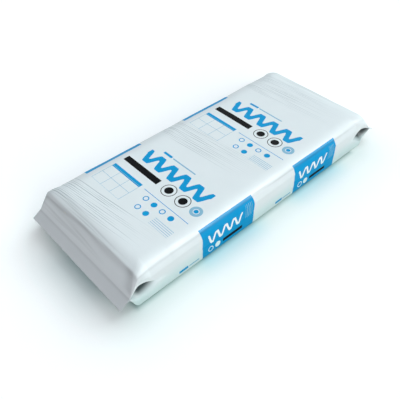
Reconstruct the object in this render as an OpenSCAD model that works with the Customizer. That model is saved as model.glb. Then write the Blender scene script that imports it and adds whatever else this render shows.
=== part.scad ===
// Compressed bag of loose-fill insulation, lying flat.
// A gusseted tube of film is packed tight with wool and pinched flat into a fin at each end.
// The bag lies along X with the floor at z = 0 and the origin under its middle.

/* [Bag] */
// Length between the two end seals
bag_length = 1284; // [900:2:1600]
// Width across the long sides
bag_width = 530; // [400:2:700]
// Height of the packed bag
bag_height = 145; // [125:1:200]
// Radius of the two long top edges
top_edge_radius = 45; // [20:1:50]
// Radius of the two long bottom edges
bottom_edge_radius = 8; // [4:1:24]

/* [End closure] */
// Height of the end seals above the floor
seal_height = 65; // [50:1:80]
// Run of the sloping end face, from its shoulder to the seal
end_face_run = 46; // [30:1:80]
// Height over which the shoulder turns from the top to the end face
shoulder_softness = 40; // [10:1:60]
// Run of the bottom film as it rises from the floor to the seal
bottom_lift_run = 40; // [24:1:80]
// Depth to which each side gusset is tucked in at the seal
gusset_depth = 72; // [30:1:110]
// Length of the gusset pocket along the long side
gusset_run = 110; // [80:1:200]
// Height of the pocket's upper lip above the seal
pocket_rise = 32; // [20:1:40]
// Depth of the pocket's lower lip below the seal
pocket_fall = 26; // [15:1:35]
// Depth of the fin outside the seal, along its slope
fin_depth = 41; // [15:1:60]
// Thickness of the fin, with its four layers of film lying loosely together
fin_thickness = 2; // [1.8:0.1:3]
// Droop of the fin below the horizontal, in degrees
fin_droop = 31; // [0:1:45]

/* [Film] */
// Thickness of the film
film_thickness = 0.15; // [0.1:0.01:0.2]

/* [Fill] */
// Length of film at each seal that the wool leaves empty
wool_setback = 4; // [3:0.5:12]
// Room between the wool and the film
wool_clearance = 0.3; // [0.2:0.05:0.6]

/* [Hidden] */

// Facets of the rounded edges, of the pocket's lips and of the end curves
top_arc_steps = 8;
bottom_arc_steps = 4;
lip_steps = 4;
end_steps = 16;
// How much closer together the sections stand towards the seal
station_crowding = 1.4;

half_length = bag_length / 2;
half_width = bag_width / 2;
fin_half = fin_thickness / 2;
fin_run = fin_depth * cos(fin_droop);
fin_drop = fin_depth * sin(fin_droop);

// Length of each end that isn't a plain straight tube
straight_margin = 20;
end_zone = max(gusset_run, end_face_run + shoulder_softness, bottom_lift_run) + straight_margin;
end_slope = (bag_height - seal_height - fin_half) / end_face_run;

// Share of the room above or below the pocket that each folded edge takes
fold_share = 0.8;
crease_softness = 8;
// Least height of the lips along the body, and their most as a share of the height over the seal
lip_floor = 6;
lip_share = 0.5;
lip_softness = 5;
// Length of a lip's rounding, as a share of its height
lip_round = 0.35;
// How far the pocket's widest place is shifted towards the seal; 1 leaves it in the middle
mouth_skew = 0.65;

function soft_min(a, b, k) = let (h = max(k - abs(a - b), 0) / k) min(a, b) - h * h * k / 4;
function soft_max(a, b, k) = -soft_min(-a, -b, k);
function clamp(v) = min(max(v, 0), 1);
function reversed(list) = [for (i = [len(list) - 1 : -1 : 0]) list[i]];
function mirrored(list) = [for (p = reversed(list)) [-p[0], p[1]]];

// Heights of the top and bottom panels, and the tuck of the gusset crease, at a distance e inside the seal
function top_z(e) = soft_min(bag_height, seal_height + fin_half + end_slope * e, shoulder_softness);
function bottom_z(e) = (seal_height - fin_half) * pow(1 - clamp(e / bottom_lift_run), 2);
function tuck(e) = soft_max(0, gusset_depth * (1 - e / gusset_run), crease_softness);

// Opening of the pocket along its length, and the heights of its two lips over and under the crease
function mouth(e) = sin(180 * pow(clamp(e / gusset_run), mouth_skew));
function lip(room, most, e) =
    soft_min(lip_share * room, lip_floor + (most - lip_floor) * mouth(e), lip_softness);
function upper_lip(e) = lip(top_z(e) - seal_height, pocket_rise, e);
function lower_lip(e) = lip(seal_height - bottom_z(e), pocket_fall, e);

// Radii of the folded edges between a panel and its gusset
function edge_radius(room, lip_height, most) =
    min(most, fold_share * (room - (1 + lip_round) * lip_height));
function top_radius(e) = edge_radius(top_z(e) - seal_height, upper_lip(e), top_edge_radius);
function bottom_radius(e) = edge_radius(seal_height - bottom_z(e), lower_lip(e), bottom_edge_radius);

function arc(centre, r, from, to, steps) =
    [for (i = [0 : steps]) let (a = from + (to - from) * i / steps) centre + r * [cos(a), sin(a)]];

// Lip of the pocket, where the upright wall turns in, at a height h over the crease; h is negative under it
function lip_curve(crease, h) =
    let (
        corner = [half_width, crease[1] + h],
        wall = corner + [0, lip_round * h],
        panel = corner + lip_round * abs(h) * (crease - corner) / norm(crease - corner)
    )
    [
        for (i = [0 : lip_steps])
            let (t = i / lip_steps)
            (1 - t) * (1 - t) * wall + 2 * t * (1 - t) * corner + t * t * panel
    ];

// Right half of the bag's section, from the top panel's edge round the gusset to the bottom panel's edge
function half_section(e) =
    let (
        rt = top_radius(e),
        rb = bottom_radius(e),
        crease = [half_width - tuck(e), seal_height]
    )
    concat(
        arc([half_width - rt, top_z(e) - rt], rt, 90, 0, top_arc_steps),
        lip_curve(crease, upper_lip(e)),
        [crease],
        reversed(lip_curve(crease, -lower_lip(e))),
        arc([half_width - rb, bottom_z(e) + rb], rb, 0, -90, bottom_arc_steps)
    );

// A half section moved inwards, with mitred corners
function outward(a, b) = let (t = (b - a) / norm(b - a)) [-t[1], t[0]];
function inset_path(path, inset) = [
    for (i = [0 : len(path) - 1])
        let (
            before = i == 0 ? [0, 1] : outward(path[i - 1], path[i]),
            after = i == len(path) - 1 ? [0, -1] : outward(path[i], path[i + 1])
        )
        path[i] - inset * (before + after) / (1 + before * after)
];

function section(e, inset) =
    let (half = inset_path(half_section(e), inset)) concat(half, mirrored(half));
function placed(section, x, drop = 0) = [for (p = section) [x, p[0], p[1] - drop]];

// Distances inside the seal at which sections are taken
end_stations = concat(
    [wool_setback],
    [
        for (i = [1 : end_steps])
            let (e = end_zone * pow(i / end_steps, station_crowding))
            if (e > wool_setback + 1) e
    ]
);

// Sections of the -X end from the wool's end inwards, and of the flat fin from its edge to the seal
function body_rings(inset) =
    [for (e = end_stations) placed(section(e, inset), e - half_length)];
function fin_rings(inset) =
    let (flat = section(0, inset))
    [placed(flat, -half_length - fin_run, fin_drop), placed(flat, -half_length)];

function both_ends(rings) =
    concat(rings, [for (ring = reversed(rings)) [for (p = ring) [-p[0], p[1], p[2]]]]);
function film_rings(inset) = both_ends(concat(fin_rings(inset), body_rings(inset)));

// Triangles between two rows of n corners that start at first and second. The patches of the two sides
// are split along mirrored diagonals, and lean turns them over for the other end of the bag.
function strip(first, second, n, lean) = [
    for (i = [0 : n - 1])
        let (j = (i + 1) % n)
        each (i < n / 2) == lean
            ? [[first + i, first + j, second + j], [first + i, second + j, second + i]]
            : [[first + i, first + j, second + i], [first + j, second + j, second + i]]
];
// Triangles across a section of n corners that starts at first, level by level from the top
function cap(first, n) = [
    for (i = [0 : n / 2 - 2])
        let (right = first + i, left = first + n - 1 - i)
        each [[right, left, right + 1], [left, left - 1, right + 1]]
];
// Triangles between all of a row of sections, from the one that starts at first to the last one after it
function wall(first, n, last) =
    [for (k = [0 : last - 1]) each strip(first + k * n, first + (k + 1) * n, n, k < last / 2)];
function turned(faces) = [for (f = faces) reversed(f)];

// Solid through a row of sections
module loft(rings) {
    n = len(rings[0]);
    last = len(rings) - 1;
    polyhedron(
        points = [for (ring = rings) each ring],
        faces = concat(cap(0, n), wall(0, n, last), turned(cap(last * n, n))),
        convexity = 6
    );
}

// Open tube with a wall between two rows of sections
module tube(outer, inner) {
    n = len(outer[0]);
    last = len(outer) - 1;
    lining = (last + 1) * n;
    edges = concat(strip(lining, 0, n, true), strip(last * n, lining + last * n, n, false));
    polyhedron(
        points = [for (ring = concat(outer, inner)) each ring],
        faces = concat(wall(0, n, last), turned(wall(lining, n, last)), edges),
        convexity = 10
    );
}

// Printed film tube, gusseted along both sides and pinched flat at both ends
module film_bag() {
    color("whitesmoke") tube(film_rings(0), film_rings(film_thickness));
}

// Compressed wool that fills the film
module wool_fill() {
    color("khaki") loft(both_ends(body_rings(film_thickness + wool_clearance)));
}

film_bag();
wool_fill();
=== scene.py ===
"""Looks of a film bag packed with compressed loose-fill wool.

The bag lies along X on the floor. Lengths are in metres, and printing is laid out in millimetres of film.
"""

import logging
import math
import random
from dataclasses import dataclass, field
from enum import Enum

import bmesh
import bpy
import numpy as np
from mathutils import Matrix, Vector, noise

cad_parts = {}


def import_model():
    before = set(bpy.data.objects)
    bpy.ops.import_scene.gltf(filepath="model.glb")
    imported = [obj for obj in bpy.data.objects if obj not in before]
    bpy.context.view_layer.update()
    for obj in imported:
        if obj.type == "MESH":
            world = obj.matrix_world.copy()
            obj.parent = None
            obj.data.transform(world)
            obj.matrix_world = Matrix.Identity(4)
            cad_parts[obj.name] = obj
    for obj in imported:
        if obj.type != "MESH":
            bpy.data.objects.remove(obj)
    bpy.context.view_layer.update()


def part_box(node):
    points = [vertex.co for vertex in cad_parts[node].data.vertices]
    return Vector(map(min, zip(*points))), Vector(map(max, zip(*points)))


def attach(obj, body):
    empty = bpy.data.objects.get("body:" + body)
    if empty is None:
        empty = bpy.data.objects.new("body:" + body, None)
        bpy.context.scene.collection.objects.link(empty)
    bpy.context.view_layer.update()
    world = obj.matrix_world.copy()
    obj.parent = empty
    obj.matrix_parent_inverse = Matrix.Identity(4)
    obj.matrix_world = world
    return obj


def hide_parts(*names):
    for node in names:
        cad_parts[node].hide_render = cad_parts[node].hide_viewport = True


LOG = logging.getLogger("bag")
MM = 0.001
UV_NAME = "film"
PAINTED_SHADE_NAME = "shade"
PAINTED_COOL_NAME = "low"
WHITE = (1.0, 1.0, 1.0, 1.0)
Span = tuple[float, float]
Socket = bpy.types.NodeSocket


def linear(colour: str) -> tuple[float, float, float, float]:
    """Turn an sRGB hex colour into linear light.

    Args:
        colour: Six hex digits after a hash.

    Returns:
        Red, green, blue and a full alpha.
    """
    parts = [int(colour[i : i + 2], 16) / 255 for i in (1, 3, 5)]
    light = [c / 12.92 if c <= 0.04045 else ((c + 0.055) / 1.055) ** 2.4 for c in parts]
    return (*light, 1.0)


def soft_min(a: float, b: float, blend: float) -> float:
    """Return the smaller of two values, rounded over where they cross."""
    share = max(blend - abs(a - b), 0.0) / blend
    return min(a, b) - share * share * blend / 4


def smooth(value: float) -> float:
    """Return an eased step from 0 to 1."""
    part = min(max(value, 0.0), 1.0)
    return part * part * (3 - 2 * part)


def smooth_steps(low: float, high: float, values: np.ndarray) -> np.ndarray:
    """Return an eased step from 0 at low to 1 at high for each value."""
    part = np.clip((values - low) / (high - low), 0.0, 1.0)
    return part * part * (3 - 2 * part)


def bell(values: np.ndarray, middle: float | np.ndarray, width: float) -> np.ndarray:
    """Return a smooth hump of height 1 round a middle for each value."""
    part = (values - middle) / width
    return np.exp(-part * part)


class Ink(Enum):
    """Printing inks on the film, in the order in which they are laid down."""

    BLUE = "#0a94cc"
    PALE = "#86b4cc"
    WHITE = "#eef3f4"
    BLACK = "#06080b"


class NodeSheet:
    """Node tree of a material or of the world."""

    def __init__(self, owner: bpy.types.Material | bpy.types.World) -> None:
        """Start an empty tree.

        Args:
            owner: Material or world that the tree belongs to.
        """
        self.owner = owner
        owner.use_nodes = True
        self.tree = owner.node_tree
        self.tree.nodes.clear()

    def add(
        self, kind: str, inputs: dict[int | str, object], out: int | str = 0, **settings: object
    ) -> Socket | None:
        """Add a node with its settings and links.

        Args:
            kind: Node type without its ShaderNode prefix.
            inputs: Constant or source socket for each named or numbered input.
            out: Name or number of the output to hand back.
            **settings: Properties of the node.

        Returns:
            The chosen output socket, if the node has any.
        """
        node = self.tree.nodes.new("ShaderNode" + kind)
        for name, value in settings.items():
            setattr(node, name, value)
        for key, value in inputs.items():
            if isinstance(value, Socket):
                self.tree.links.new(value, node.inputs[key])
            else:
                node.inputs[key].default_value = value
        return node.outputs[out] if len(node.outputs) else None

    def seen_rays(self) -> Socket:
        """Tell rays that show a thing in the picture, direct, mirrored or through glass, from the rest.

        Returns:
            1 for such a ray and 0 for the rest.
        """
        seen = self.add("LightPath", {}, out="Is Camera Ray")
        for kind in ("Is Glossy Ray", "Is Transmission Ray"):
            other = self.add("LightPath", {}, out=kind)
            seen = self.add("Math", {0: seen, 1: other}, operation="MAXIMUM")
        return seen

    def finish(self, surface: Socket) -> bpy.types.Material | bpy.types.World:
        """Join a shader to the output.

        Args:
            surface: Shader socket of the finished surface.

        Returns:
            The owner of the tree.
        """
        world = isinstance(self.owner, bpy.types.World)
        self.add("OutputWorld" if world else "OutputMaterial", {"Surface": surface})
        return self.owner


@dataclass(frozen=True)
class Plot:
    """Film coordinates, in millimetres, on which a group of marks is drawn."""

    sheet: NodeSheet
    along: Socket
    across: Socket


@dataclass(frozen=True)
class Bar:
    """Printed rectangle."""

    ink: Ink
    along: Span
    across: Span

    def mask(self, plot: Plot) -> Socket:
        """Draw the rectangle.

        Args:
            plot: Film coordinates to draw on.

        Returns:
            1 inside it and 0 outside it.
        """
        edges = []
        for place, (low, high) in ((plot.along, self.along), (plot.across, self.across)):
            limits = {0: place, 1: (low + high) / 2, 2: (high - low) / 2}
            edges.append(plot.sheet.add("Math", limits, operation="COMPARE"))
        return plot.sheet.add("Math", {0: edges[0], 1: edges[1]}, operation="MULTIPLY")


@dataclass(frozen=True)
class Rules:
    """Printed block of even lines that run across the film."""

    ink: Ink
    along: Span
    across: Span
    pitch: float
    stroke: float

    def mask(self, plot: Plot) -> Socket:
        """Draw the lines.

        Args:
            plot: Film coordinates to draw on.

        Returns:
            1 on the lines and 0 between and outside them.
        """
        half = self.pitch / 2
        start = plot.sheet.add("Math", {0: plot.along, 1: self.along[0]}, operation="SUBTRACT")
        phase = plot.sheet.add("Math", {0: start, 1: half, 2: -half}, operation="WRAP")
        line = plot.sheet.add("Math", {0: phase, 1: 0.0, 2: self.stroke / 2}, operation="COMPARE")
        block = Bar(self.ink, self.along, self.across).mask(plot)
        return plot.sheet.add("Math", {0: line, 1: block}, operation="MULTIPLY")


@dataclass(frozen=True)
class Ring:
    """Printed ring, or a disc if its stroke is as wide as its radius."""

    ink: Ink
    centre: Span
    radius: float
    stroke: float

    def mask(self, plot: Plot) -> Socket:
        """Draw the ring.

        Args:
            plot: Film coordinates to draw on.

        Returns:
            1 on the ring and 0 off it.
        """
        place = plot.sheet.add("CombineXYZ", {0: plot.along, 1: plot.across})
        reach = plot.sheet.add(
            "VectorMath", {0: place, 1: (*self.centre, 0.0)}, out="Value", operation="DISTANCE"
        )
        limits = {0: reach, 1: self.radius - self.stroke / 2, 2: self.stroke / 2}
        return plot.sheet.add("Math", limits, operation="COMPARE")


@dataclass(frozen=True)
class Wave:
    """Printed wavy stroke that runs along or across the film."""

    ink: Ink
    middle: float
    span: Span
    height: float
    pitch: float
    stroke: float
    runs_along: bool

    def mask(self, plot: Plot) -> Socket:
        """Draw the stroke.

        Args:
            plot: Film coordinates to draw on.

        Returns:
            1 on the stroke and 0 off it.
        """
        sheet = plot.sheet
        run, rise = (plot.along, plot.across) if self.runs_along else (plot.across, plot.along)
        turn = 2 * math.pi / self.pitch
        angle = sheet.add("Math", {0: run, 1: turn, 2: -turn * self.span[0]}, operation="MULTIPLY_ADD")
        sine = sheet.add("Math", {0: angle}, operation="SINE")
        cosine = sheet.add("Math", {0: angle}, operation="COSINE")
        curve = sheet.add("Math", {0: cosine, 1: self.height, 2: self.middle}, operation="MULTIPLY_ADD")
        offset = sheet.add("Math", {0: rise, 1: curve}, operation="SUBTRACT")
        slope = sheet.add("Math", {0: sine, 1: self.height * turn}, operation="MULTIPLY")
        square = sheet.add("Math", {0: slope, 1: slope, 2: 1.0}, operation="MULTIPLY_ADD")
        lean = sheet.add("Math", {0: square}, operation="SQRT")
        reach = sheet.add("Math", {0: lean, 1: self.stroke / 2}, operation="MULTIPLY")
        inside = sheet.add("Math", {0: offset, 1: 0.0, 2: reach}, operation="COMPARE")
        ends = {0: run, 1: sum(self.span) / 2, 2: (self.span[1] - self.span[0]) / 2}
        within = sheet.add("Math", ends, operation="COMPARE")
        tall = {0: rise, 1: self.middle, 2: self.height + self.stroke / 2}
        level = sheet.add("Math", tall, operation="COMPARE")
        strip = sheet.add("Math", {0: within, 1: level}, operation="MULTIPLY")
        return sheet.add("Math", {0: inside, 1: strip}, operation="MULTIPLY")


Mark = Bar | Rules | Ring | Wave


@dataclass(frozen=True)
class PrintLayout:
    """Plain generic printing that repeats along the film, in millimetres of film.

    Marks are placed along the film from the middle of a repeat, and across it from the top's middle line.
    """

    # Length of a repeat, the first one's middle along the bag, and the stretch that is printed
    pitch: float = 480.0
    first_middle: float = -290.0
    extent: Span = (-530.0, 430.0)
    # The printing of the +Y side is the -Y side's, turned round this place and set this much higher
    side_mirror: float = 47.0
    back_lift: float = 12.0
    # The printing of the sides sways with the uneven film
    sway: float = 12.0
    sway_pitch: float = 70.0

    def top_marks(self) -> list[Mark]:
        """Lay out the top panel: a wave, a bar and a row of rings, with a table and two rows of dots.

        Returns:
            The marks.
        """
        table = (44.0, 206.0)
        hairline = 1.6
        dot = 12.0
        marks: list[Mark] = [
            Wave(
                Ink.BLUE, 68.0, (-175.0, 175.0), height=22.0, pitch=70.0, stroke=25.0, runs_along=False
            ),
            Bar(Ink.BLACK, (-14.0, 14.0), (14.0, 206.0)),
            Bar(Ink.BLUE, (-67.0, -49.0), table),
            Bar(Ink.BLUE, (-59.0, -56.5), (-208.0, 24.0)),
            Bar(Ink.BLUE, (120.0, 131.0), (86.0, 132.0)),
            Bar(Ink.PALE, (122.0, 128.0), (-44.0, 80.0)),
            Rules(Ink.PALE, (-158.0, -60.0), table, pitch=48.0, stroke=hairline),
            Rules(Ink.PALE, (-150.0, -114.0), (-206.0, -112.0), pitch=8.0, stroke=2.0),
            Ring(Ink.PALE, (0.0, -184.0), radius=24.0, stroke=12.0),
            Ring(Ink.BLUE, (0.0, -184.0), radius=9.0, stroke=9.0),
        ]
        for column in (44.8, 98.0, 152.0, 205.2):
            marks.append(Bar(Ink.PALE, (-158.8, -66.0), (column - hairline / 2, column + hairline / 2)))
        for across in (-42.0, -116.0):
            marks.append(Ring(Ink.BLACK, (0.0, across), radius=30.0, stroke=3.0))
            marks.append(Ring(Ink.BLACK, (0.0, across), radius=17.0, stroke=17.0))
        for along, row in ((-84.0, (-18.0, -62.0, -106.0, -150.0)), (-130.0, (-30.0, -74.0))):
            for step, across in enumerate(row):
                marks.append(Ring(Ink.BLUE, (along, across), dot, stroke=dot if step % 2 else dot / 3))
        return marks

    def side_marks(self) -> list[Mark]:
        """Lay out one long side, on the negative side of the top's middle line: a blue panel and a line.

        Returns:
            The marks.
        """
        return [
            Bar(Ink.BLUE, (-47.0, 207.0), (-410.0, -247.0)),
            Wave(
                Ink.WHITE, -308.0, (-22.0, 148.0), height=18.0, pitch=42.5, stroke=10.0, runs_along=True
            ),
            Bar(Ink.BLACK, (52.0, 148.0), (-366.0, -351.0)),
            Ring(Ink.WHITE, (-8.0, -358.0), radius=13.0, stroke=3.5),
            Ring(Ink.WHITE, (26.0, -358.0), radius=13.0, stroke=13.0),
            Rules(Ink.PALE, (164.0, 196.0), (-330.0, -268.0), pitch=8.0, stroke=2.5),
            Bar(Ink.BLUE, (-152.0, -112.0), (-372.0, -360.0)),
            Bar(Ink.PALE, (-108.0, -62.0), (-369.0, -363.0)),
        ]

    def masks(self, sheet: NodeSheet, film: Socket) -> dict[Ink, Socket]:
        """Draw every mark.

        Args:
            sheet: Node tree of the film.
            film: Film coordinates in metres.

        Returns:
            Cover of each ink, from 0 to 1.
        """
        scaled = sheet.add("VectorMath", {0: film, "Scale": 1 / MM}, operation="SCALE")
        length = sheet.add("SeparateXYZ", {0: scaled}, out=0)
        across = sheet.add("SeparateXYZ", {0: scaled}, out=1)
        start = sheet.add("Math", {0: length, 1: self.first_middle}, operation="SUBTRACT")
        half = self.pitch / 2
        along = sheet.add("Math", {0: start, 1: half, 2: -half}, operation="WRAP")
        uneven = sheet.add("TexNoise", {"Vector": scaled, "Scale": 1 / self.sway_pitch})
        sway = sheet.add(
            "Math", {0: uneven, 1: self.sway, 2: -self.sway / 2}, operation="MULTIPLY_ADD"
        )
        front_along = sheet.add("Math", {0: along, 1: sway}, operation="ADD")
        back_along = sheet.add("Math", {0: self.side_mirror, 1: front_along}, operation="SUBTRACT")
        back_across = sheet.add("Math", {0: -self.back_lift, 1: across}, operation="SUBTRACT")
        drawn = [(mark, Plot(sheet, along, across)) for mark in self.top_marks()]
        drawn += [(mark, Plot(sheet, front_along, across)) for mark in self.side_marks()]
        drawn += [(mark, Plot(sheet, back_along, back_across)) for mark in self.side_marks()]
        low, high = self.extent
        limits = {0: length, 1: (low + high) / 2, 2: (high - low) / 2}
        within = sheet.add("Math", limits, operation="COMPARE")
        cover: dict[Ink, Socket] = {}
        for mark, plot in drawn:
            mask = mark.mask(plot)
            if mark.ink in cover:
                mask = sheet.add("Math", {0: cover[mark.ink], 1: mask}, operation="MAXIMUM")
            cover[mark.ink] = mask
        return {
            ink: sheet.add("Math", {0: cover[ink], 1: within}, operation="MULTIPLY") for ink in Ink
        }


@dataclass(frozen=True)
class WrinkleZone:
    """Stretch of the top on which fine stretch lines run in from the +Y edge.

    Attributes:
        along: Where the zone starts and ends along the bag.
        count: Number of modelled wrinkles.
        height: Greatest height of a modelled wrinkle.
        reach: Least and greatest length of a wrinkle, as a share of the longest.
        lean: Run of the lines towards +X per length towards -Y.
        fade: Film distances from the top's middle line at which the fine lines start and are strongest.
        strength: Strength of the fine lines.
    """

    along: Span
    count: int
    height: float
    reach: Span
    lean: float
    fade: Span
    strength: float


@dataclass(frozen=True)
class FilmFinish:
    """White low-density polyethylene, blown and printed.

    It has a soft, low gloss, a faint mottle where it is thinner, and fine lines where it is stretched.
    Painted shade and a painted cool shade are laid into its colour.
    """

    white: str = "#e1e7e9"
    thin_white: str = "#dbe2e4"
    # Tone of the painted shade, which darkens the film where it is dimmest
    painted_shade: str = "#2d3d40"
    # Tone of the painted cool shade, by which the sides look cooler towards the floor
    painted_cool_tone: str = "#e7f6f4"
    # Tone of the painted shade in the stretch lines
    painted_line_shade: str = "#7f9098"
    roughness: Span = (0.3, 0.46)
    ior: float = 1.51
    specular: float = 0.04
    # Size of the mottle, and the values of its noise between which the roughness follows it
    mottle_mm: float = 90.0
    mottle_range: Span = (0.3, 0.7)
    # Pitch of the stretch lines, how far they stray from it, and the size of the stretches that differ
    line_pitch: float = 8.5 * MM
    line_stray: float = 1.3
    line_mm: Span = (21.0, 420.0)
    # Noise that sets each line's strength: its fineness, the values that count, and the weakest line
    vigour_scale: float = 2.6
    vigour_range: Span = (0.3, 0.65)
    weakest_line: float = 0.1
    # Half width of a line by the pitch, and the film distances over which the lines end on the side
    line_width: float = 0.17
    line_end: Span = (0.25, 0.31)
    line_depth: float = 0.5 * MM
    # Run over which the lines of a zone set in and end
    zone_edge: float = 18 * MM
    # Small dimples that the wool presses into the film
    dimple_mm: float = 16.0
    dimple_height: float = 0.1 * MM

    def build(self, layout: PrintLayout, zones: tuple[WrinkleZone, ...]) -> bpy.types.Material:
        """Make the film's material.

        Args:
            layout: Printing on the film.
            zones: Stretches of the film that have fine stretch lines.

        Returns:
            The material.
        """
        sheet = NodeSheet(bpy.data.materials.new("printed_polyethylene_film"))
        film = sheet.add("UVMap", {}, uv_map=UV_NAME)
        mottle = sheet.add(
            "TexNoise", {"Vector": film, "Scale": 1 / (self.mottle_mm * MM), "Detail": 3.0}
        )
        lines = self.lines(sheet, film, zones)
        layers = [(mottle, self.thin_white)]
        layers += [(mask, ink.value) for ink, mask in layout.masks(sheet, film).items()]
        # The stretch lines carry painted shade as well as their bump
        layers.append((lines, self.painted_line_shade))
        # Painted shade in the pockets, folds, creases and fins, at the foot and on the -X shoulder
        layers.append((sheet.add("Attribute", {}, out="Fac", attribute_name=PAINTED_SHADE_NAME), self.painted_shade))
        colour: object = linear(self.white)
        for cover, tone in layers:
            colour = sheet.add("Mix", {0: cover, 6: colour, 7: linear(tone)}, out=2, data_type="RGBA")
        # Painted cool shade low on the long sides, standing in for light thrown back by the floor
        low = sheet.add("Attribute", {}, out="Fac", attribute_name=PAINTED_COOL_NAME)
        colour = sheet.add(
            "Mix",
            {0: low, 6: colour, 7: linear(self.painted_cool_tone)},
            out=2,
            data_type="RGBA",
            blend_type="MULTIPLY",
        )
        gloss = sheet.add("MapRange", dict(enumerate((mottle, *self.mottle_range, *self.roughness))))
        dimple = sheet.add(
            "TexNoise", {"Vector": film, "Scale": 1 / (self.dimple_mm * MM), "Detail": 2.0}
        )
        pressed = sheet.add("Bump", {"Height": lines, "Distance": self.line_depth}, invert=True)
        normal = sheet.add("Bump", {"Height": dimple, "Distance": self.dimple_height, "Normal": pressed})
        shader = sheet.add(
            "BsdfPrincipled",
            {
                "Base Color": colour,
                "Roughness": gloss,
                "IOR": self.ior,
                "Specular IOR Level": self.specular,
                "Normal": normal,
            },
        )
        return sheet.finish(shader)

    def lines(self, sheet: NodeSheet, film: Socket, zones: tuple[WrinkleZone, ...]) -> Socket:
        """Draw fine stretch lines across the film, nearly even and each with its own strength.

        Args:
            sheet: Node tree of the film.
            film: Film coordinates in metres.
            zones: Stretches of the film that have the lines.

        Returns:
            1 in the strongest lines and 0 off them.
        """
        across = sheet.add("SeparateXYZ", {0: film}, out=1)
        scale = tuple(1 / (size * MM) for size in self.line_mm)
        total = None
        for zone in zones:
            lean = (1.0, zone.lean, 0.0)
            along = sheet.add("VectorMath", {0: film, 1: lean}, out="Value", operation="DOT_PRODUCT")
            straight = sheet.add("CombineXYZ", {0: along, 1: across})
            drawn = sheet.add("VectorMath", {0: straight, 1: (*scale, 1.0)}, operation="MULTIPLY")
            stray = sheet.add("TexNoise", {"Vector": drawn, "Scale": 1.0, "Detail": 0.0})
            shift = sheet.add("Math", {0: stray, 1: self.line_stray}, operation="MULTIPLY")
            phase = sheet.add(
                "Math", {0: along, 1: 1 / self.line_pitch, 2: shift}, operation="MULTIPLY_ADD"
            )
            gap = sheet.add("Math", {0: phase, 1: 0.5}, operation="PINGPONG")
            vigour = sheet.add("TexNoise", {"Vector": drawn, "Scale": self.vigour_scale, "Detail": 0.0})
            low, high = zone.along
            ramps = (
                (gap, 0.0, self.line_width, 1.0, 0.0),
                (vigour, *self.vigour_range, self.weakest_line, 1.0),
                (along, low, low + self.zone_edge, 0.0, 1.0),
                (along, high - self.zone_edge, high, 1.0, 0.0),
                (across, *zone.fade, 0.0, zone.strength),
                (across, *self.line_end, 1.0, 0.0),
            )
            mask: object = 1.0
            for ramp in ramps:
                part = sheet.add("MapRange", dict(enumerate(ramp)), interpolation_type="SMOOTHSTEP")
                mask = sheet.add("Math", {0: mask, 1: part}, operation="MULTIPLY")
            total = sheet.add("Math", {0: total, 1: mask}, operation="MAXIMUM") if total else mask
        return total


@dataclass(frozen=True)
class WoolFinish:
    """Compressed mineral wool: matt pale fibres with no gloss."""

    light: str = "#ece6cf"
    dark: str = "#cfc6a4"
    fibre_mm: float = 3.0
    tuft_mm: float = 25.0
    fibre_height: float = 2.0 * MM
    roughness: float = 0.95
    sheen: float = 0.3

    def build(self) -> bpy.types.Material:
        """Make the wool's material.

        Returns:
            The material.
        """
        sheet = NodeSheet(bpy.data.materials.new("compressed_wool"))
        place = sheet.add("TexCoord", {}, out="Object")
        tuft = sheet.add("TexNoise", {"Vector": place, "Scale": 1 / (self.tuft_mm * MM), "Detail": 6.0})
        fibre = sheet.add("TexNoise", {"Vector": place, "Scale": 1 / (self.fibre_mm * MM), "Detail": 4.0})
        colour = sheet.add(
            "Mix", {0: tuft, 6: linear(self.light), 7: linear(self.dark)}, out=2, data_type="RGBA"
        )
        normal = sheet.add("Bump", {"Height": fibre, "Distance": self.fibre_height})
        shader = sheet.add(
            "BsdfPrincipled",
            {
                "Base Color": colour,
                "Roughness": self.roughness,
                "Sheen Weight": self.sheen,
                "Normal": normal,
            },
        )
        return sheet.finish(shader)


@dataclass(frozen=True)
class SectionSteps:
    """Mesh steps along each stretch of half the bag's section."""

    top: int = 36
    top_fold: int = 18
    upper_wall: int = 6
    lip: int = 8
    gusset: int = 12
    lower_wall: int = 5
    bottom_fold: int = 5
    bottom: int = 8


@dataclass(frozen=True)
class Pocket:
    """Gusset pockets of one end, and the rise of the bottom film under them.

    Attributes:
        run: Length of the pocket along the side.
        rise: Height of its upper lip over the crease.
        rise_skew: Shift of the upper lip's highest place, towards the seal if under 1.
        fall: Depth of its lower lip under the crease.
        fall_skew: Shift of the lower lip's lowest place, towards the seal if under 1.
        share: Most of the room over or under the crease that a lip takes.
        flap_slope: Fall of the bottom film from the fin to the foot, per length.
        foot: Depth inside the seal at which the film rises from the floor.
        foot_softness: Height over which it turns up there.
    """

    run: float
    rise: float
    rise_skew: float
    fall: float
    fall_skew: float
    share: float
    flap_slope: float
    foot: float
    foot_softness: float

    def mouth(self, depth: float, skew: float) -> float:
        """Return how far a lip stands open, from 0 to 1, at a depth inside the seal."""
        part = min(max(depth / self.run, 0.0), 1.0)
        return math.sin(math.pi * part**skew)


@dataclass(frozen=True)
class TopEdge:
    """Long top edge, which slopes from the panel to a crease and then turns down, in shares of its radius.

    Attributes:
        start: Where the slope starts, inside the side.
        bend: Where the slope is steered, inside the side.
        crease: How far inside the side and below the top the crease is.
        turn: Where the film is steered between the crease and the wall, in the same way.
    """

    start: float
    bend: float
    crease: Span
    turn: Span

    def curve(self, steps: int) -> list[Vector]:
        """Follow the edge from the panel to the wall.

        Args:
            steps: Number of steps on each side of the crease.

        Returns:
            Points as distances inside the side and below the top.
        """
        crease = Vector(self.crease)
        slope = (Vector((self.start, 0.0)), Vector((self.bend, 0.0)), crease)
        wall = (crease, Vector(self.turn), Vector((0.0, 1.0)))
        parts = [i / steps for i in range(steps + 1)]
        runs = [[a.lerp(b, t).lerp(b.lerp(c, t), t) for t in parts] for a, b, c in (slope, wall)]
        return runs[0] + runs[1][1:]


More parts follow.
